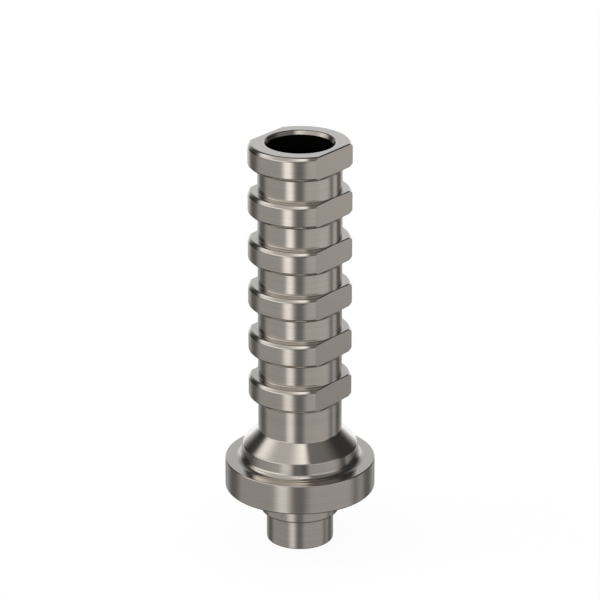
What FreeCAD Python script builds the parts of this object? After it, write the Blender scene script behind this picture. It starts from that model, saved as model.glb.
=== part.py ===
import FreeCAD, Part
import math
import os

# A dental abutment of the temporary cylinder kind: one piece, turned from titanium bar, with two milled flats.
# Lengths are in millimetres. The origin is the centre of the spigot's end face, and +Z runs up the screw
# channel. The flats face +X and -X.

# Screw way through the middle. The walls and ledges outside it build up from its sizes.
screw_hole_diameter = 1.70
screw_hole_mouth_chamfer = 0.06
seat_width = 0.23
seat_above_flange_underside = 0.43
channel_mouth_chamfer_width = 0.095
channel_mouth_chamfer_depth = 0.145

# Spigot that enters the implant, and the wider step above it.
spigot_wall = 0.27
spigot_length = 1.065
spigot_end_chamfer = 0.05
step_ledge = 0.19
step_length = 0.90

# Flange that seats on the implant's shoulder and carries the crown's margin.
flange_diameter = 5.0
flange_thickness = 1.0
flange_edge_break = 0.03
margin_width = 0.308

# Collar: a hollow fillet out of the margin, a nearly upright band, and a cone up to the stem.
collar_fillet_radius = 0.213
collar_band_height = 0.33
collar_band_flare = 0.044
collar_cone_angle = 45.0

# Stem, and the retention rings that the crown's resin grips.
stem_wall = 0.305
stem_foot_length = 1.18
ring_count = 6
ring_depth = 0.31
ring_height = 0.805
groove_width = 0.805
ring_top_chamfer_width = 0.09
ring_top_chamfer_height = 0.105
ring_bottom_chamfer = 0.10

# The flats are milled just clear of the stem, so they cut the rings alone.
flat_clearance = 0.015
mill_overrun = 1.0

# Radii and heights that follow from the sizes above.
screw_hole_radius = screw_hole_diameter / 2
channel_radius = screw_hole_radius + seat_width
stem_radius = channel_radius + stem_wall
ring_radius = stem_radius + ring_depth
flat_distance = stem_radius + flat_clearance
spigot_radius = screw_hole_radius + spigot_wall
step_radius = spigot_radius + step_ledge
flange_radius = flange_diameter / 2

band_lean = math.atan(collar_band_flare / collar_band_height)
fillet_foot_radius = flange_radius - flange_edge_break - margin_width
band_foot_radius = fillet_foot_radius - collar_fillet_radius * math.cos(band_lean)
band_top_radius = band_foot_radius - collar_band_flare

flange_underside = spigot_length + step_length
flange_face = flange_underside + flange_thickness
band_foot = flange_face + collar_fillet_radius * (1 - math.sin(band_lean))
band_top = band_foot + collar_band_height
cone_top = band_top + (band_top_radius - stem_radius) * math.tan(math.radians(collar_cone_angle))
barrel_base = cone_top + stem_foot_length
ring_pitch = ring_height + groove_width
barrel_top = barrel_base + (ring_count - 1) * ring_pitch + ring_height
seat_foot = flange_underside + seat_above_flange_underside


def at(radius, height):
    """A point of the half section, in the XZ plane."""
    return FreeCAD.Vector(radius, 0, height)


def spigot_and_flange():
    """Outside of the spigot, the step and the flange, from the end face up to the margin's inner edge."""
    return [
        at(spigot_radius - spigot_end_chamfer, 0),
        at(spigot_radius, spigot_end_chamfer),
        at(spigot_radius, spigot_length),
        at(step_radius, spigot_length),
        at(step_radius, flange_underside),
        at(flange_radius - flange_edge_break, flange_underside),
        at(flange_radius, flange_underside + flange_edge_break),
        at(flange_radius, flange_face - flange_edge_break),
        at(flange_radius - flange_edge_break, flange_face),
        at(fillet_foot_radius, flange_face),
    ]


def collar_fillet():
    """Hollow arc that leaves the margin level and runs smoothly into the leaning band."""
    half_sweep = (math.pi / 2 - band_lean) / 2
    centre_height = flange_face + collar_fillet_radius
    middle = at(fillet_foot_radius - collar_fillet_radius * math.sin(half_sweep),
                centre_height - collar_fillet_radius * math.cos(half_sweep))
    return Part.Arc(at(fillet_foot_radius, flange_face), middle, at(band_foot_radius, band_foot)).toShape()


def ring(base):
    """Outside of one retention ring, from the stem below it to the stem above it."""
    top = base + ring_height
    return [
        at(stem_radius, base),
        at(ring_radius - ring_bottom_chamfer, base),
        at(ring_radius, base + ring_bottom_chamfer),
        at(ring_radius, top - ring_top_chamfer_height),
        at(ring_radius - ring_top_chamfer_width, top),
        at(stem_radius, top),
    ]


def collar_and_barrel():
    """Outside of the band, the cone, the stem and its rings. The last ring's face ends at the channel's mouth."""
    outline = [
        at(band_foot_radius, band_foot),
        at(band_top_radius, band_top),
        at(stem_radius, cone_top),
    ]
    for index in range(ring_count):
        outline += ring(barrel_base + index * ring_pitch)
    outline[-1] = at(channel_radius + channel_mouth_chamfer_width, barrel_top)
    return outline


def screw_way():
    """Inside of the part, down from the channel's mouth over the screw's seat to the spigot's end."""
    return [
        at(channel_radius, barrel_top - channel_mouth_chamfer_depth),
        at(channel_radius, seat_foot + seat_width),
        at(screw_hole_radius, seat_foot),
        at(screw_hole_radius, screw_hole_mouth_chamfer),
        at(screw_hole_radius + screw_hole_mouth_chamfer, 0),
    ]


def straight_edges(points):
    """Straight edges from each point to the next."""
    return [Part.LineSegment(start, end).toShape() for start, end in zip(points, points[1:])]


def turned_blank():
    """The whole half section, turned once round the axis."""
    lower = spigot_and_flange()
    upper = collar_and_barrel() + screw_way() + lower[:1]
    section = Part.Face(Part.Wire(straight_edges(lower) + [collar_fillet()] + straight_edges(upper)))
    return section.revolve(FreeCAD.Vector(0, 0, 0), FreeCAD.Vector(0, 0, 1), 360)


def mill_path(side):
    """The metal that the mill takes off the rings on one side, +1 for +X and -1 for -X."""
    depth = ring_radius - flat_distance + mill_overrun
    width = 2 * (ring_radius + mill_overrun)
    length = barrel_top - cone_top + mill_overrun
    start = flat_distance if side > 0 else -flat_distance - depth
    return Part.makeBox(depth, width, length, FreeCAD.Vector(start, -width / 2, cone_top))


def abutment_body():
    """The turned blank with both flats milled on its rings."""
    body = turned_blank()
    for side in (1, -1):
        body = body.cut(mill_path(side))
    return body.Solids[0]


os.makedirs("parts", exist_ok=True)
body = abutment_body()
body.exportStep("parts/abutment_body.step")
print("valid", body.isValid(), "volume mm3", round(body.Volume, 3), "height mm", round(barrel_top, 3))
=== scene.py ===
# %% [markdown]
# # A turned titanium dental abutment
# The object is a temporary cylinder for a dental implant: one small bar of titanium, turned on a lathe and
# then milled flat on two sides. The CAD frame gives its place and its overall size. Blender's share is the
# finish: crisp edges with fine breaks, turning lines, and a studio whose panels draw the bands that
# polished metal shows.

# %% load the frame
import math

import bpy
from mathutils import Matrix, Vector


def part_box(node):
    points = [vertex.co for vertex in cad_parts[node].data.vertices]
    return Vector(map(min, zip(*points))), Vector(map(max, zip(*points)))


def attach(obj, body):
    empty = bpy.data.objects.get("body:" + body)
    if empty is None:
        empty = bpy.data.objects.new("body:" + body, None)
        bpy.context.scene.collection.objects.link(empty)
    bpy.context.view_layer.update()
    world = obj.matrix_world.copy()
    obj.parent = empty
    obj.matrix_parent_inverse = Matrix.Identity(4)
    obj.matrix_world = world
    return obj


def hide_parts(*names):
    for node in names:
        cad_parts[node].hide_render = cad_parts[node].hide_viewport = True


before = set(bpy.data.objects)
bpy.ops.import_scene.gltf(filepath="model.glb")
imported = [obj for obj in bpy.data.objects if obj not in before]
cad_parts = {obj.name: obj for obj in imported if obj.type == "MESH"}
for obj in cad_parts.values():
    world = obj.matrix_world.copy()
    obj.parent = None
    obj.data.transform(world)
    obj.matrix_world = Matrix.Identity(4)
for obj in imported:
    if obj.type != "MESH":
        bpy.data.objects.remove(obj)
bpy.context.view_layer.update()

# %% [markdown]
# ## Sizes
# A machinist would read these off the drawing. They are in millimetres, because fine edges are easier to
# think of that way, and the finished mesh is brought to metres at the end. The flange and the overall
# height come from the frame, so the dressed part keeps the solid's reach.

# %% sizes of the turned part
MM = 0.001
part_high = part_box("abutment_body")[1]
flange_radius = part_high.x / MM
part_height = part_high.z / MM

screw_hole_radius = 0.85
screw_hole_mouth = 0.06
channel_radius = 1.08
mouth_width = 0.085
mouth_depth = 0.13
seat_foot = 2.395

spigot_radius = 1.12
spigot_length = 1.045
step_radius = 1.31
flange_underside = 1.94
flange_face = 2.965

band_foot_radius = 1.951
band_foot = 3.150
band_height = 0.33
band_flare = 0.044
fillet_lean = 7.6

stem_radius = 1.385
ring_radius = 1.702
ring_height = 0.805
ring_pitch = 1.61
ring_count = 6
flat_distance = 1.40

first_ring_base = part_height - (ring_count - 1) * ring_pitch - ring_height
band_top = band_foot + band_height
cone_top = band_top + band_foot_radius - band_flare - stem_radius
print("first ring base", round(first_ring_base, 3), "cone top", round(cone_top, 3))

# %% [markdown]
# ## Outline from the spigot to the cone
# A lathe needs only the outline of one side. It is written as points, in the order in which a finger would
# run up the outside. A point has a radius, a height and the edge break there, as a share of the widest one:
# a share of 0 keeps an edge sharp or an arc smooth. The hollow fillet leaves the margin level and ends on
# the band's own lean, so no crease shows between them.

# %% outline of the foot
cone_foot_rounding = 0.08


def arc(centre, radius, first, last, steps):
    """Points of an arc in the section, between two angles in degrees, without any edge break."""
    points = []
    for step in range(steps + 1):
        turn = math.radians(first + (last - first) * step / steps)
        points.append((centre[0] + radius * math.cos(turn), centre[1] + radius * math.sin(turn), 0.0))
    return points


def collar_fillet():
    """The hollow fillet, from the margin up to the foot of the leaning band."""
    lean = math.radians(fillet_lean)
    radius = (band_foot - flange_face) / (1 - math.sin(lean))
    centre = (band_foot_radius + radius * math.cos(lean), flange_face + radius)
    return arc(centre, radius, -90, -180 + fillet_lean, 12)


def cone_to_stem():
    """The small arc that leads from the 45 degree cone into the upright stem."""
    rise = cone_foot_rounding * math.tan(math.radians(45 / 2))
    centre = (stem_radius + cone_foot_rounding, cone_top + rise)
    return arc(centre, cone_foot_rounding, -135, -180, 4)


def foot_outline():
    """Spigot, step, flange, collar and the cone up to the stem."""
    return [
        (screw_hole_radius + screw_hole_mouth, 0.0, 0.0),
        (spigot_radius, 0.0, 0.7),
        (spigot_radius, spigot_length, 0.0),
        (step_radius, spigot_length, 1.0),
        (step_radius, flange_underside, 0.0),
        (flange_radius, flange_underside, 0.8),
        (flange_radius, flange_face, 0.7),
        *collar_fillet(),
        (band_foot_radius - band_flare, band_top, 0.7),
        *cone_to_stem(),
    ]


foot = foot_outline()
print("foot outline:", len(foot), "points")

# %% [markdown]
# ## Outline of one retention ring
# The six rings are alike, so only the lowest is drawn, and the node tree further on repeats it up the stem.
# The tool's round nose leaves a soft corner in the groove under a ring and a tighter one above it. Each
# chamfer has a middle point, because a flat cuts a cone in a curve, and the corner of a flat follows it
# only with a point there.

# %% outline of the ring
ring_top_width = 0.09
ring_top_height = 0.105
ring_bottom_chamfer = 0.10
groove_top_rounding = 0.105
groove_foot_rounding = 0.035


def ring_outline():
    """One ring with the groove's corners below and above it."""
    base = first_ring_base
    top = base + ring_height
    below = (stem_radius + groove_top_rounding, base - groove_top_rounding)
    above = (stem_radius + groove_foot_rounding, top + groove_foot_rounding)
    return [
        *arc(below, groove_top_rounding, 180, 90, 6),
        (ring_radius - ring_bottom_chamfer, base, 0.9),
        (ring_radius - ring_bottom_chamfer / 2, base + ring_bottom_chamfer / 2, 0.6),
        (ring_radius, base + ring_bottom_chamfer, 0.35),
        (ring_radius, top - ring_top_height, 0.8),
        (ring_radius - ring_top_width / 2, top - ring_top_height / 2, 0.6),
        (ring_radius - ring_top_width, top, 0.75),
        *arc(above, groove_foot_rounding, -90, -180, 4),
    ]


ring = ring_outline()
print("ring outline:", len(ring), "points")

# %% [markdown]
# ## Outline of the screw's way
# The inside is drilled in two widths, with a conical seat for the screw's head between them. The finger now
# runs down, from the channel's chamfered mouth in the top ring's face. The heights are those of a stack of
# one ring: the tree lifts the mouth with the top ring, and whatever lies deeper starts lower by the other
# rings' pitches.

# %% outline of the screw way


def screw_way_outline():
    """Mouth, channel, conical screw seat and screw hole, placed for a stack of one ring."""
    top = first_ring_base + ring_height
    lowered = (ring_count - 1) * ring_pitch
    seat_width = channel_radius - screw_hole_radius
    return [
        (channel_radius + mouth_width, top, 0.65),
        (channel_radius, top - mouth_depth, 0.15),
        (channel_radius, seat_foot + seat_width - lowered, 0.0),
        (screw_hole_radius, seat_foot - lowered, 0.0),
        (screw_hole_radius, screw_hole_mouth - lowered, 0.0),
    ]


screw_way = screw_way_outline()
print("screw way outline:", len(screw_way), "points")

# %% [markdown]
# ## Short words for node trees
# Building a tree in a script takes three lines for every node: add it, link it, read its output. A small
# class shortens that to one call for each step, so the trees below read like sums.

# %% helpers for node trees


class Tree:
    """A node tree with short calls. A value that is fed in is a socket to link to, or a constant."""

    def __init__(self, nodes, links):
        self.nodes = nodes
        self.links = links

    def add(self, kind, **settings):
        node = self.nodes.new(kind)
        for name, value in settings.items():
            setattr(node, name, value)
        return node

    def feed(self, socket, value):
        if isinstance(value, bpy.types.NodeSocket):
            self.links.new(value, socket)
        else:
            socket.default_value = value

    def math(self, operation, *values):
        node = self.add("ShaderNodeMath", operation=operation)
        for socket, value in zip(node.inputs, values):
            self.feed(socket, value)
        return node.outputs[0]

    def switch(self, test, no, yes):
        node = self.add("GeometryNodeSwitch", input_type="FLOAT")
        for name, value in (("Switch", test), ("False", no), ("True", yes)):
            self.feed(node.inputs[name], value)
        return node.outputs[0]

    def split(self, vector):
        """The X, Y and Z of a vector."""
        node = self.add("ShaderNodeSeparateXYZ")
        self.feed(node.inputs[0], vector)
        return [node.outputs[axis] for axis in "XYZ"]

    def join(self, *values):
        """A vector from two or three numbers."""
        node = self.add("ShaderNodeCombineXYZ")
        for socket, value in zip(node.inputs, values):
            self.feed(socket, value)
        return node.outputs[0]

    def step(self, kind, geometry, inputs=None, **settings):
        """A node that takes a geometry and gives it on, changed."""
        node = self.add(kind, **settings)
        self.feed(node.inputs[0], geometry)
        for name, value in (inputs or {}).items():
            self.feed(node.inputs[name], value)
        return node.outputs[0]


# %% [markdown]
# ## Where each point goes: the lathe
# Blender's Screw modifier could spin the outline, but the flats would then need a Boolean, whose slivers
# spoil fine edges. Here a grid is laid round the axis instead: its rows are the points of the outline and
# its columns are directions. A row number above the foot is folded back on the one ring outline and lifted
# by whole pitches, so the ring count is one number.

# %% rows of the grid


def row_position(tree, inputs, outline, row):
    """Radius, edge break and height of a row. Every ring reads the same points of the outline."""
    past_foot = tree.math("SUBTRACT", row, inputs["Foot Points"])
    ring_number = tree.math("FLOOR", tree.math("DIVIDE", past_foot, inputs["Ring Points"]))
    last_ring = tree.math("SUBTRACT", inputs["Ring Count"], 1.0)
    lifts = tree.math("MAXIMUM", tree.math("MINIMUM", ring_number, last_ring), 0.0)
    source_row = tree.math("SUBTRACT", row, tree.math("MULTIPLY", lifts, inputs["Ring Points"]))
    sample = tree.add("GeometryNodeSampleIndex", data_type="FLOAT_VECTOR", domain="POINT")
    tree.feed(sample.inputs["Geometry"], outline)
    tree.feed(sample.inputs["Value"], tree.add("GeometryNodeInputPosition").outputs[0])
    tree.feed(sample.inputs["Index"], source_row)
    radius, edge_break, height = tree.split(sample.outputs[0])
    height = tree.math("MULTIPLY_ADD", lifts, inputs["Ring Pitch"], height)
    return radius, edge_break, tree.math("MINIMUM", height, inputs["Top"])


def grid_place(tree, inputs):
    """Number of rows, and the row and direction of each point. One row more falls on the first again."""
    index = tree.add("GeometryNodeInputIndex").outputs[0]
    rows = tree.math("MULTIPLY_ADD", inputs["Ring Points"], inputs["Ring Count"], inputs["Other Points"])
    row = tree.math("FLOOR", tree.math("DIVIDE", index, inputs["Grid Columns"]))
    row = tree.math("FLOORED_MODULO", row, rows)
    column = tree.math("FLOORED_MODULO", index, inputs["Grid Columns"])
    return rows, row, tree.math("MULTIPLY", column, inputs["Column Angle"])


# %% [markdown]
# ## Where each point goes: the mill
# Where a row is wider than the flats, its columns slide along the flat: the columns up to a fixed one share
# out the flat's width, and the others share out the arc that is left. So each corner of a flat runs exactly
# along a line of the mesh. The groove's round corner gives way behind a flat, where the ledge between flat
# and stem is very thin.

# %% columns on the flats
corner_column = 11


def milled_point(tree, inputs, radius, turn):
    """X and Y of a column on a row that the flats cut. The turn is measured from the nearer flat's middle."""
    flat = inputs["Flat Distance"]
    corner = tree.math("ARCCOSINE", tree.math("DIVIDE", flat, radius))
    reference = tree.math("MULTIPLY", inputs["Column Angle"], float(corner_column))
    size = tree.math("ABSOLUTE", turn)
    half_chord = tree.math("MULTIPLY", flat, tree.math("TANGENT", corner))
    share = tree.math("DIVIDE", tree.math("TANGENT", size), tree.math("TANGENT", reference))
    quarter = math.pi / 2
    past = tree.math("SUBTRACT", size, reference)
    arc_share = tree.math("DIVIDE", past, tree.math("SUBTRACT", quarter, reference))
    arc_turn = tree.math("MULTIPLY_ADD", arc_share, tree.math("SUBTRACT", quarter, corner), corner)
    on_arc = tree.math("GREATER_THAN", size, tree.math("ADD", reference, 0.0001))
    x = tree.switch(on_arc, flat, tree.math("MULTIPLY", radius, tree.math("COSINE", arc_turn)))
    flat_y = tree.math("MULTIPLY", half_chord, share)
    y = tree.switch(on_arc, flat_y, tree.math("MULTIPLY", radius, tree.math("SINE", arc_turn)))
    return x, tree.math("MULTIPLY", y, tree.math("SIGN", turn))


def groove_corner(tree, inputs, radius, turn):
    """Radius in a groove's rounded corner, and the half of a flat's ledge that the corner may take."""
    stem = inputs["Stem Radius"]
    share = tree.math("DIVIDE", tree.math("SUBTRACT", radius, stem), inputs["Groove Corner"])
    towards_flat = tree.math("MAXIMUM", tree.math("COSINE", turn), 0.1)
    ledge = tree.math("SUBTRACT", tree.math("DIVIDE", inputs["Flat Distance"], towards_flat), stem)
    half_ledge = tree.math("MULTIPLY", ledge, 0.5)
    width = tree.math("MINIMUM", inputs["Groove Corner"], half_ledge)
    return tree.math("MULTIPLY_ADD", share, width, stem), half_ledge


# %% [markdown]
# ## Turned or milled?
# Each point takes the lathe's place, or the mill's where its row is wide enough and high enough. An edge
# break is never wider than the face that it cuts into, so on the thin ledge of the top face it is narrowed.

# %% place of every point
widest_break = 0.06
near = 0.001


def turned_position(tree, inputs, outline):
    """Where each grid point goes on the turned and milled part, its edge break, and the number of rows."""
    rows, row, angle = grid_place(tree, inputs)
    radius, edge_break, height = row_position(tree, inputs, outline, row)
    folded = tree.math("WRAP", angle, math.pi / 2, -math.pi / 2)
    facing = tree.math("SIGN", tree.math("COSINE", tree.math("SUBTRACT", angle, folded)))
    milled_x, milled_y = milled_point(tree, inputs, radius, folded)
    corner_radius, half_ledge = groove_corner(tree, inputs, radius, folded)
    ring_from = tree.math("ADD", tree.math("ADD", inputs["Stem Radius"], inputs["Groove Corner"]), near)
    wide = tree.math("GREATER_THAN", radius, ring_from)
    outside = tree.math("GREATER_THAN", radius, tree.math("SUBTRACT", inputs["Stem Radius"], near))
    high = tree.math("GREATER_THAN", height, inputs["Mill From"])
    on_top = tree.math("GREATER_THAN", height, tree.math("SUBTRACT", inputs["Top"], near))
    cut = tree.math("MULTIPLY", wide, high)
    in_groove = tree.math("MULTIPLY", outside, high)
    radius = tree.switch(in_groove, radius, tree.switch(on_top, corner_radius, inputs["Top Face Radius"]))
    turned_x = tree.math("MULTIPLY", radius, tree.math("COSINE", angle))
    turned_y = tree.math("MULTIPLY", radius, tree.math("SINE", angle))
    x = tree.switch(cut, turned_x, tree.math("MULTIPLY", milled_x, facing))
    y = tree.switch(cut, turned_y, tree.math("MULTIPLY", milled_y, facing))
    widest = tree.math("DIVIDE", tree.math("MULTIPLY", half_ledge, 0.9), widest_break)
    narrowed = tree.switch(on_top, tree.math("MINIMUM", edge_break, widest), edge_break)
    return tree.join(x, y, height), tree.switch(cut, edge_break, narrowed), rows


# %% [markdown]
# ## Which edges are broken
# A burr would cut a glove, so the shop breaks every outer edge. The Bevel modifier does it where an
# edge has a weight: the tree gives one to each edge that stands out by more than 20 degrees. The upright
# corners of a flat get a finer break, because the columns lie close there. Hollow corners stay sharp in the
# shading.

# %% edge weights and shading
upright_share = 0.2


def keep_value(tree, geometry, name, value, domain):
    """Stores a number on the points or edges of a geometry."""
    inputs = {"Name": name, "Value": value}
    return tree.step("GeometryNodeStoreNamedAttribute", geometry, inputs, data_type="FLOAT", domain=domain)


def upright_limit(tree):
    """The widest share of an edge break by the edge's direction: less for the upright corners of a flat."""
    ends = tree.add("GeometryNodeInputMeshEdgeVertices")
    heights = [tree.split(ends.outputs[name])[2] for name in ("Position 1", "Position 2")]
    rise = tree.math("ABSOLUTE", tree.math("SUBTRACT", heights[0], heights[1]))
    return tree.switch(tree.math("GREATER_THAN", rise, 0.01), 1.0, upright_share)


def weigh_edges(tree, geometry, bend):
    """Gives each edge that stands out the smaller of its points' edge break and its direction's limit."""
    kept = tree.add("GeometryNodeInputNamedAttribute", data_type="FLOAT")
    tree.feed(kept.inputs["Name"], "edge_break")
    stands_out = tree.math("GREATER_THAN", bend, math.radians(20))
    share = tree.math("MINIMUM", kept.outputs["Attribute"], upright_limit(tree))
    return keep_value(tree, geometry, "bevel_weight_edge", tree.math("MULTIPLY", stands_out, share), "EDGE")


def shade(tree, geometry, bend):
    """Smooth faces, with the hollow corners kept sharp."""
    geometry = tree.step("GeometryNodeSetShadeSmooth", geometry, domain="FACE")
    hollow = tree.math("LESS_THAN", bend, math.radians(-30))
    inputs = {"Selection": hollow, "Shade Smooth": False}
    return tree.step("GeometryNodeSetShadeSmooth", geometry, inputs, domain="EDGE")


# %% [markdown]
# ## The whole tree
# The tree now lays the grid, moves its points, and closes the seams: the last column falls on the first,
# and the last row on the first row. The faces of a rolled-up grid look inwards, so they are flipped. Every
# size is a named input, so the same tree would turn a shorter cylinder or one with more rings.

# %% the turning and milling tree
tree_inputs = {
    "Foot Points": len(foot),
    "Ring Points": len(ring),
    "Other Points": len(foot) + len(screw_way),
    "Ring Count": ring_count,
    "Columns": 120,
    "Ring Pitch": ring_pitch,
    "Flat Distance": flat_distance,
    "Stem Radius": stem_radius,
    "Groove Corner": groove_top_rounding,
    "Top Face Radius": (channel_radius + mouth_width + stem_radius) / 2,
    "Mill From": first_ring_base - groove_top_rounding,
    "Top": part_height,
}


def named_inputs(group, values):
    """Adds the tree's geometry sockets and its named inputs. Returns the identifier of each input."""
    group.interface.new_socket("Geometry", in_out="INPUT", socket_type="NodeSocketGeometry")
    group.interface.new_socket("Geometry", in_out="OUTPUT", socket_type="NodeSocketGeometry")
    identifiers = {}
    for name, value in values.items():
        kind = "NodeSocketInt" if isinstance(value, int) else "NodeSocketFloat"
        identifiers[name] = group.interface.new_socket(name, in_out="INPUT", socket_type=kind).identifier
    return identifiers


def turning_tree(material):
    """The whole tree: a grid, its new positions, closed seams, weighed edges, shading and the material."""
    group = bpy.data.node_groups.new("Turn and mill", "GeometryNodeTree")
    identifiers = named_inputs(group, tree_inputs)
    tree = Tree(group.nodes, group.links)
    source = tree.add("NodeGroupInput")
    inputs = {name: source.outputs[name] for name in identifiers}
    inputs["Column Angle"] = tree.math("DIVIDE", math.tau, inputs["Columns"])
    inputs["Grid Columns"] = tree.math("ADD", inputs["Columns"], 1.0)
    position, edge_break, rows = turned_position(tree, inputs, source.outputs["Geometry"])
    grid = tree.add("GeometryNodeMeshGrid")
    tree.feed(grid.inputs["Vertices X"], tree.math("ADD", rows, 1.0))
    tree.feed(grid.inputs["Vertices Y"], inputs["Grid Columns"])
    part = keep_value(tree, grid.outputs["Mesh"], "edge_break", edge_break, "POINT")
    part = tree.step("GeometryNodeSetPosition", part, {"Position": position})
    part = tree.step("GeometryNodeMergeByDistance", part, {"Distance": 0.0001})
    part = tree.step("GeometryNodeFlipFaces", part)
    bend = tree.add("GeometryNodeInputMeshEdgeAngle").outputs["Signed Angle"]
    part = shade(tree, weigh_edges(tree, part, bend), bend)
    part = tree.step("GeometryNodeRealizeInstances", part)
    part = tree.step("GeometryNodeSetMaterial", part, {"Material": material})
    tree.feed(tree.add("NodeGroupOutput").inputs[0], part)
    return group, identifiers


# %% [markdown]
# ## Turned titanium
# Titanium is a warm grey metal, and the lathe's tool leaves fine rings across it. An anisotropic shader
# could smear the highlights in the same way, but it doesn't show single lines. Here noise over radius and
# height draws them: it changes across the cut and hardly at all round the part. The flats were milled, so
# they get a finer, even grain. The inside of the channel is painted nearly black, as painted shade, because
# no lamp reaches it.

# %% the turned and milled pattern
line_spacing = 0.09
grain_spacing = 0.05
mask_margin = 0.003


def blend(tree, mask, plain, other):
    """The other number or colour where the mask is 1."""
    kind = "FLOAT" if isinstance(plain, float) or isinstance(other, float) else "RGBA"
    factor, first, second, result = {"FLOAT": (0, 2, 3, 0), "RGBA": (0, 6, 7, 2)}[kind]
    mix = tree.add("ShaderNodeMix", data_type=kind)
    for socket, value in ((factor, mask), (first, plain), (second, other)):
        tree.feed(mix.inputs[socket], value)
    return mix.outputs[result]


def section_noise(tree, across, along, spacing):
    """Noise over two coordinates in millimetres. With radius and height it draws rings round the part."""
    noise = tree.add("ShaderNodeTexNoise", noise_dimensions="2D")
    tree.feed(noise.inputs["Vector"], tree.join(across, along))
    noise.inputs["Scale"].default_value = 1 / spacing
    noise.inputs["Detail"].default_value = 2.0
    return noise.outputs[0]


def cut_pattern(tree):
    """The pattern that the tools leave, from 0 to 1, and a mask that is 1 inside the channel."""
    position = tree.split(tree.add("ShaderNodeTexCoord").outputs["Object"])
    x, y, height = [tree.math("DIVIDE", value, MM) for value in position]
    radius = tree.math("SQRT", tree.math("ADD", tree.math("MULTIPLY", x, x), tree.math("MULTIPLY", y, y)))
    inside = tree.math("LESS_THAN", radius, channel_radius + mask_margin)
    at_flat = tree.math("GREATER_THAN", tree.math("ABSOLUTE", x), flat_distance - mask_margin)
    on_rings = tree.math("GREATER_THAN", height, first_ring_base - mask_margin)
    milled = tree.math("MULTIPLY", at_flat, on_rings)
    lines = section_noise(tree, radius, height, line_spacing)
    grain = section_noise(tree, y, height, grain_spacing)
    return blend(tree, milled, lines, grain), inside


# %% [markdown]
# ## The metal's shader
# The pattern drives two things: the tone of the metal by a few percent, and a bump of a fraction of a
# micrometre, which is enough to streak a mirror. The roughness is that of a fine turned finish, smooth
# enough to show a softbox as a band with soft edges.

# %% the material
titanium_colour = (0.72, 0.672, 0.626)
# The colour inside the channel is painted shade: nearly black, for a deep bore that no lamp reaches.
channel_shade_colour = (0.012, 0.011, 0.010, 1.0)
turned_roughness = 0.17
bored_roughness = 0.5
tone_range = (0.92, 1.08)
bump_height = 0.0002
bump_strength = 0.25


def toned_colour(tree, pattern):
    """The titanium's colour, a little lighter and darker by the pattern."""
    low, high = tone_range
    tone = tree.math("MULTIPLY_ADD", pattern, high - low, low)
    tint = tree.add("ShaderNodeVectorMath", operation="SCALE")
    tint.inputs[0].default_value = titanium_colour
    tree.feed(tint.inputs["Scale"], tone)
    return tint.outputs[0]


def turned_titanium():
    """Bare titanium with the tools' pattern on it, rougher inside the channel, where its colour is painted
    shade.
    """
    material = bpy.data.materials.new("turned_titanium")
    material.use_nodes = True
    tree = Tree(material.node_tree.nodes, material.node_tree.links)
    shader = material.node_tree.nodes["Principled BSDF"]
    pattern, inside = cut_pattern(tree)
    # Inside the channel the base colour is painted shade, not the metal's own colour.
    tree.feed(shader.inputs["Base Color"], blend(tree, inside, toned_colour(tree, pattern), channel_shade_colour))
    tree.feed(shader.inputs["Roughness"], blend(tree, inside, turned_roughness, bored_roughness))
    bump = tree.add("ShaderNodeBump")
    bump.inputs["Strength"].default_value = bump_strength
    bump.inputs["Distance"].default_value = bump_height * MM
    tree.feed(bump.inputs["Height"], pattern)
    tree.feed(shader.inputs["Normal"], bump.outputs[0])
    shader.inputs["Metallic"].default_value = 1.0
    return material


titanium = turned_titanium()
print("material:", titanium.name, "with", len(titanium.node_tree.nodes), "nodes")

# %% [markdown]
# ## Turning the part
# The tree reads its outline from a bare row of points, whose middle coordinate carries the edge break.
# Three modifiers then work in order. The tree turns and mills, Bevel rounds the marked edges, and Weighted
# Normal shades each turned face as one smooth sweep. new_from_object makes the result a plain mesh, which
# is brought to metres and takes the place of the CAD solid. A column every three degrees keeps the outline
# round at this size.

# %% the turned part


def outline_object(points):
    """A bare row of points for the node tree to read."""
    mesh = bpy.data.meshes.new("outline")
    mesh.from_pydata([(radius, edge_break, height) for radius, height, edge_break in points], [], [])
    outline = bpy.data.objects.new("outline", mesh)
    bpy.context.scene.collection.objects.link(outline)
    return outline


def turn_and_mill(outline, material):
    """Adds the node tree to the outline, with a value for each of its named inputs."""
    group, identifiers = turning_tree(material)
    modifier = outline.modifiers.new("turn", "NODES")
    modifier.node_group = group
    for name, value in tree_inputs.items():
        modifier[identifiers[name]] = value


def break_edges(piece):
    """Rounds the weighed edges, and shades each face from its own flat or turned middle."""
    breaks = piece.modifiers.new("edge breaks", "BEVEL")
    breaks.limit_method = "WEIGHT"
    breaks.width = widest_break
    breaks.segments = 3
    breaks.use_clamp_overlap = True
    breaks.face_strength_mode = "FSTR_ALL"
    shading = piece.modifiers.new("shading", "WEIGHTED_NORMAL")
    shading.keep_sharp = True
    shading.use_face_influence = True


def finished_mesh(source, name):
    """An object's evaluated result as a plain mesh object in metres, without the grid's empty first slot."""
    graph = bpy.context.evaluated_depsgraph_get()
    mesh = bpy.data.meshes.new_from_object(source.evaluated_get(graph), depsgraph=graph)
    mesh.materials.pop(index=0)
    mesh.transform(Matrix.Scale(MM, 4))
    mesh.name = name
    piece = bpy.data.objects.new(name, mesh)
    bpy.context.scene.collection.objects.link(piece)
    bpy.data.objects.remove(source)
    return piece


blank = outline_object(foot + ring + screw_way)
turn_and_mill(blank, titanium)
break_edges(blank)
abutment = finished_mesh(blank, "abutment_turned")
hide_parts("abutment_body")
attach(abutment, "root")
print("turned part:", len(abutment.data.vertices), "points,", len(abutment.data.polygons), "faces")

# %% [markdown]
# ## Camera
# A small part is photographed from some way off with a long lens, so its upright edges stay nearly
# parallel. The distance and the lens follow from how much narrower the far end looks, and the elevation
# from how round the rings' front edges look. The camera stands 38 degrees round from the front, where one
# flat shows.

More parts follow.
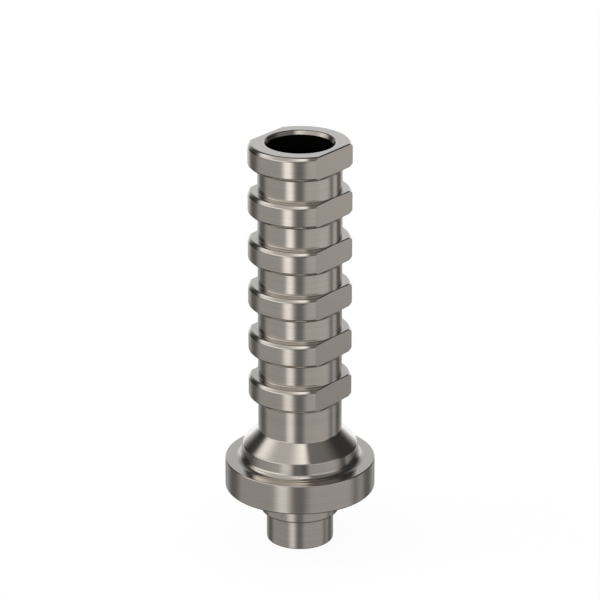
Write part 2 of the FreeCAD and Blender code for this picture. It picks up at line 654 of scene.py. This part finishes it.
# %% camera
camera_azimuth = math.radians(38.04)
camera_elevation = math.radians(21.71)
camera_distance = 105.15 * MM
look_at = Vector((0, 0, 8.547 * MM))


def aim(item, target):
    """Turns a camera or a lamp, which look along their own -Z, to a point."""
    item.rotation_euler = (target - item.location).to_track_quat("-Z", "Y").to_euler()


def add_camera():
    """The photo's viewpoint, by azimuth from the front, elevation and distance."""
    data = bpy.data.cameras.new("camera")
    data.lens = 192.2
    data.sensor_width = 36.0
    data.clip_start = 0.005
    data.clip_end = 10.0
    camera = bpy.data.objects.new("camera", data)
    bpy.context.scene.collection.objects.link(camera)
    level = math.cos(camera_elevation)
    rise = math.sin(camera_elevation)
    back = Vector((math.sin(camera_azimuth) * level, -math.cos(camera_azimuth) * level, rise))
    camera.location = look_at + back * camera_distance
    aim(camera, look_at)
    bpy.context.scene.camera = camera
    return camera


camera = add_camera()
print("camera at", [round(value / MM, 2) for value in camera.location], "mm")

# %% [markdown]
# ## A studio painted on the world
# Bare metal has no colour of its own to show: it looks like what stands round it. A product photographer
# builds that from softboxes, white walls and black flags. Planes with emission could stand for them, but
# each would need a place and be seen by the camera. Painting them on the world costs nothing to render. A
# panel has a name, a brightness, its reach sideways and upwards in degrees, and how soft each of its edges
# is. The azimuth is counted from the camera to its right, the elevation from the horizon, and each panel
# covers the ones painted before it.

# %% painting panels


def fade(tree, value, middle, softness):
    """Rises from 0 to 1 round the middle, over the softness on each side."""
    node = tree.add("ShaderNodeMapRange", interpolation_type="SMOOTHSTEP")
    tree.feed(node.inputs["Value"], value)
    tree.feed(node.inputs["From Min"], middle - softness)
    tree.feed(node.inputs["From Max"], middle + softness)
    return node.outputs["Result"]


def between(tree, value, limits, softness):
    """1 between the limits and 0 outside, with a soft edge at each limit."""
    rise = fade(tree, value, limits[0], softness[0])
    fall = tree.math("SUBTRACT", 1.0, fade(tree, value, limits[1], softness[1]))
    return tree.math("MULTIPLY", rise, fall)


class Studio:
    """The brightness of the painted studio by direction, and the angles that its panels are placed by."""

    def __init__(self, tree, darkness):
        self.tree = tree
        self.brightness = darkness
        x, y, z = tree.split(tree.add("ShaderNodeTexCoord").outputs["Generated"])
        around = tree.math("ARCTAN2", x, tree.math("MULTIPLY", y, -1.0))
        around = tree.math("WRAP", tree.math("SUBTRACT", around, camera_azimuth), math.pi, -math.pi)
        self.side = tree.math("DEGREES", around)
        self.up = tree.math("DEGREES", tree.math("ARCSINE", z))
        self.either_side = tree.math("ABSOLUTE", self.side)
        self.from_wall = tree.math("ABSOLUTE", tree.math("SUBTRACT", self.side, 1.0))

    def panel(self, name, brightness, width, width_softness, height, height_softness, angle=None):
        """Paints a panel over the studio so far. Its width is in azimuth, or in the angle that is given."""
        mask = between(self.tree, self.up, height, height_softness)
        if width:
            sideways = self.side if angle is None else angle
            mask = self.tree.math("MULTIPLY", mask, between(self.tree, sideways, width, width_softness))
        self.brightness = blend(self.tree, mask, self.brightness, brightness)
        self.brightness.node.label = name


# %% [markdown]
# ## The lower half of the studio
# Upright faces mirror what stands a little under the camera's height, so these panels draw the bands on the
# rings, the stem, the flange and the flats. A dark strip draws a dark band, and a bright window draws a
# highlight.

# %% table level


def paint_table_level(studio):
    """A grey table, with dark gaps at the sides and a wall on the right."""
    both = studio.either_side
    studio.panel("dark floor", 0.07, None, None, (-91, -40), (1, 14))
    studio.panel("grey table all round", 0.40, None, None, (-32, -16), (14, 3))
    studio.panel("dark gaps beside the table", 0.13, (109, 141), (10, 12), (-38, -17), (6, 2), both)
    studio.panel("dim top of the low wall", 0.36, (14, 78), (5, 14), (-16, -6), (3, 3))
    studio.panel("low wall on the right", 0.51, (14, 86), (5, 9), (-24, -16), (6, 3))
    studio.panel("bright rail on that wall", 0.62, (52, 82), (8, 6), (-19.5, -14), (1.5, 3))
    studio.panel("dark gap past the wall", 0.19, (89, 101), (7, 4), (-34, -16), (6, 3))
    studio.panel("narrow reflector", 0.50, (106, 116), (5, 4), (-24, -18), (5, 2))
    studio.panel("bright head of the reflector", 0.60, (102, 119), (4, 4), (-20.5, -12), (2.5, 4))
    studio.panel("dark slit past the reflector", 0.08, (127, 145), (8, 5), (-22.8, -20.3), (1, 1))
    studio.panel("low wall behind", 0.37, (147, 181), (8, 1), (-30, -20), (6, 3), both)


def paint_horizon(studio):
    """Round the horizon: a long bright box on the left, and a dimmer wall on the right."""
    studio.panel("wall on the right", 0.60, (17, 76), (6, 14), (-6, 16), (3, 3))
    studio.panel("dim top of that wall", 0.31, (17, 78), (6, 5), (14, 34), (3, 5))
    studio.panel("grey wall on the left", 0.41, (-96, -13), (12, 5), (-14, 3), (4, 4))
    studio.panel("window left of the camera", 1.30, (-36.5, -17.5), (7, 6), (-25, -11), (7, 5))
    studio.panel("sheet over the camera", 0.60, (-24, 14), (10, 6), (22, 48), (4, 4))
    studio.panel("long box on the left", 1.20, (-98, -22), (9, 16), (0, 34), (5, 8))


# %% [markdown]
# ## The upper half of the studio
# The cone, the chamfers and the hollow fillets look upwards. A large soft sheet on the left lights them,
# and a dark right side gives them their shape. What stands nearest is painted last: the dark camera, which
# every shiny thing mirrors, and the white wall behind the part, which draws the bright rims at its left and
# right.

# %% ceiling, camera and back wall


def paint_ceiling(studio):
    """A large soft sheet on the left, a light over the camera, and a dark right side."""
    studio.panel("large sheet on the left", 0.50, (-110, 17), (7, 7), (17, 69), (4, 3))
    studio.panel("brighter half of the sheet", 0.60, (-36, 17), (30, 7), (17, 69), (4, 3))
    studio.panel("bright end of the sheet", 1.10, (-111, -80), (7, 22), (30, 50), (4, 9))
    studio.panel("light over the camera", 1.25, (-12, 25), (26, 8), (48, 71), (6, 3))
    studio.panel("dark bar by the light", 0.13, (10, 36), (6, 5), (36, 46), (3, 2))
    studio.panel("dark right side", 0.165, (36, 91), (8, 16), (28, 80), (8, 8))
    studio.panel("ceiling over the camera", 0.50, (-60, 22), (10, 8), (72, 92), (3, 1))
    studio.panel("ceiling on the left", 0.55, (-130, -55), (14, 8), (56, 92), (10, 1))


def paint_camera_and_wall(studio):
    """The camera and its stand, and the white wall behind the part with a dark strip at its foot."""
    wall = studio.from_wall
    studio.panel("stand of the camera", 0.15, (-11, 9), (6, 7), (-40, -16), (6, 3))
    studio.panel("camera", 0.165, (-9, 6), (7, 9), (-16, 20), (3, 6))
    studio.panel("white wall", 1.22, (147, 182), (11, 1), (-18, 7), (5, 14), wall)
    studio.panel("upper part of the wall", 0.78, (150, 182), (20, 1), (6, 31), (6, 20), wall)
    studio.panel("dark strip beside the wall", 0.04, (104, 149), (8, 8), (-17, -9), (2, 3), wall)


# %% [markdown]
# ## The world
# The camera sees plain white of strength 1, as the photo's background is. Only glossy rays see the studio,
# so the metal shows it and nothing else does. Its lamps are slightly warm, and the light from behind is
# closer to daylight.

# %% the world
plain_white = (1.0, 1.0, 1.0, 1.0)
warm_light = (1.0, 0.98, 0.945, 1.0)
daylight = (0.94, 0.979, 1.002, 1.0)
darkness = 0.03


def studio_world():
    """White for the camera, and the panels for the metal."""
    world = bpy.data.worlds.new("studio")
    bpy.context.scene.world = world
    world.use_nodes = True
    tree = Tree(world.node_tree.nodes, world.node_tree.links)
    studio = Studio(tree, darkness)
    for paint in (paint_table_level, paint_horizon, paint_ceiling, paint_camera_and_wall):
        paint(studio)
    colour = blend(tree, fade(tree, studio.from_wall, 138, 18), warm_light, daylight)
    shiny = tree.add("ShaderNodeLightPath").outputs["Is Glossy Ray"]
    background = world.node_tree.nodes["Background"]
    tree.feed(background.inputs["Color"], blend(tree, shiny, plain_white, colour))
    tree.feed(background.inputs["Strength"], blend(tree, shiny, 1.0, studio.brightness))
    return world


world = studio_world()
bpy.context.scene.view_settings.view_transform = "Standard"
print("world:", len(world.node_tree.nodes), "nodes")

# %% [markdown]
# ## Floor and key light
# The part stands upright on its spigot, on a plain pale floor. A camera would see that floor grey where the
# lamp doesn't reach, so for the camera it glows nearly white and only a soft contact shadow stays. The
# metal doesn't see the floor, because the painted studio already holds what the part mirrors from below.
# One soft lamp is the key.

# %% floor and key light
floor_reach = 0.6
floor_gap = 0.01 * MM
floor_glow = 0.94


def paper_material():
    """Matt pale paper that glows for the camera, and is plain paper for the light."""
    material = bpy.data.materials.new("pale_floor")
    material.use_nodes = True
    tree = Tree(material.node_tree.nodes, material.node_tree.links)
    paper = material.node_tree.nodes["Principled BSDF"]
    paper.inputs["Base Color"].default_value = (0.9, 0.9, 0.9, 1.0)
    paper.inputs["Roughness"].default_value = 1.0
    paper.inputs["Specular IOR Level"].default_value = 0.0
    glow = tree.add("ShaderNodeEmission")
    mix = tree.add("ShaderNodeMixShader")
    seen = tree.add("ShaderNodeLightPath").outputs["Is Camera Ray"]
    share = tree.math("MULTIPLY", seen, floor_glow)
    for socket, value in zip(mix.inputs, (share, paper.outputs[0], glow.outputs[0])):
        tree.feed(socket, value)
    tree.feed(material.node_tree.nodes["Material Output"].inputs["Surface"], mix.outputs[0])
    return material


def pale_floor():
    """A wide floor, a hair under the spigot so that their faces don't fall together."""
    mesh = bpy.data.meshes.new("floor")
    signs = ((-1, -1), (1, -1), (1, 1), (-1, 1))
    corners = [(x * floor_reach, y * floor_reach, -floor_gap) for x, y in signs]
    mesh.from_pydata(corners, [], [(0, 1, 2, 3)])
    mesh.materials.append(paper_material())
    floor = bpy.data.objects.new("floor", mesh)
    bpy.context.scene.collection.objects.link(floor)
    floor.visible_glossy = False
    return floor


def key_light():
    """One large soft lamp, high on the left. It lights the floor: the metal shows the painted panels."""
    data = bpy.data.lights.new("key", "AREA")
    data.shape = "SQUARE"
    data.size = 0.12
    data.energy = 0.15
    lamp = bpy.data.objects.new("key", data)
    bpy.context.scene.collection.objects.link(lamp)
    lamp.location = (-0.12, -0.12, 0.2)
    aim(lamp, look_at)
    lamp.visible_glossy = False
    return lamp


floor = pale_floor()
key = key_light()
print("floor and key light:", floor.name, key.name)
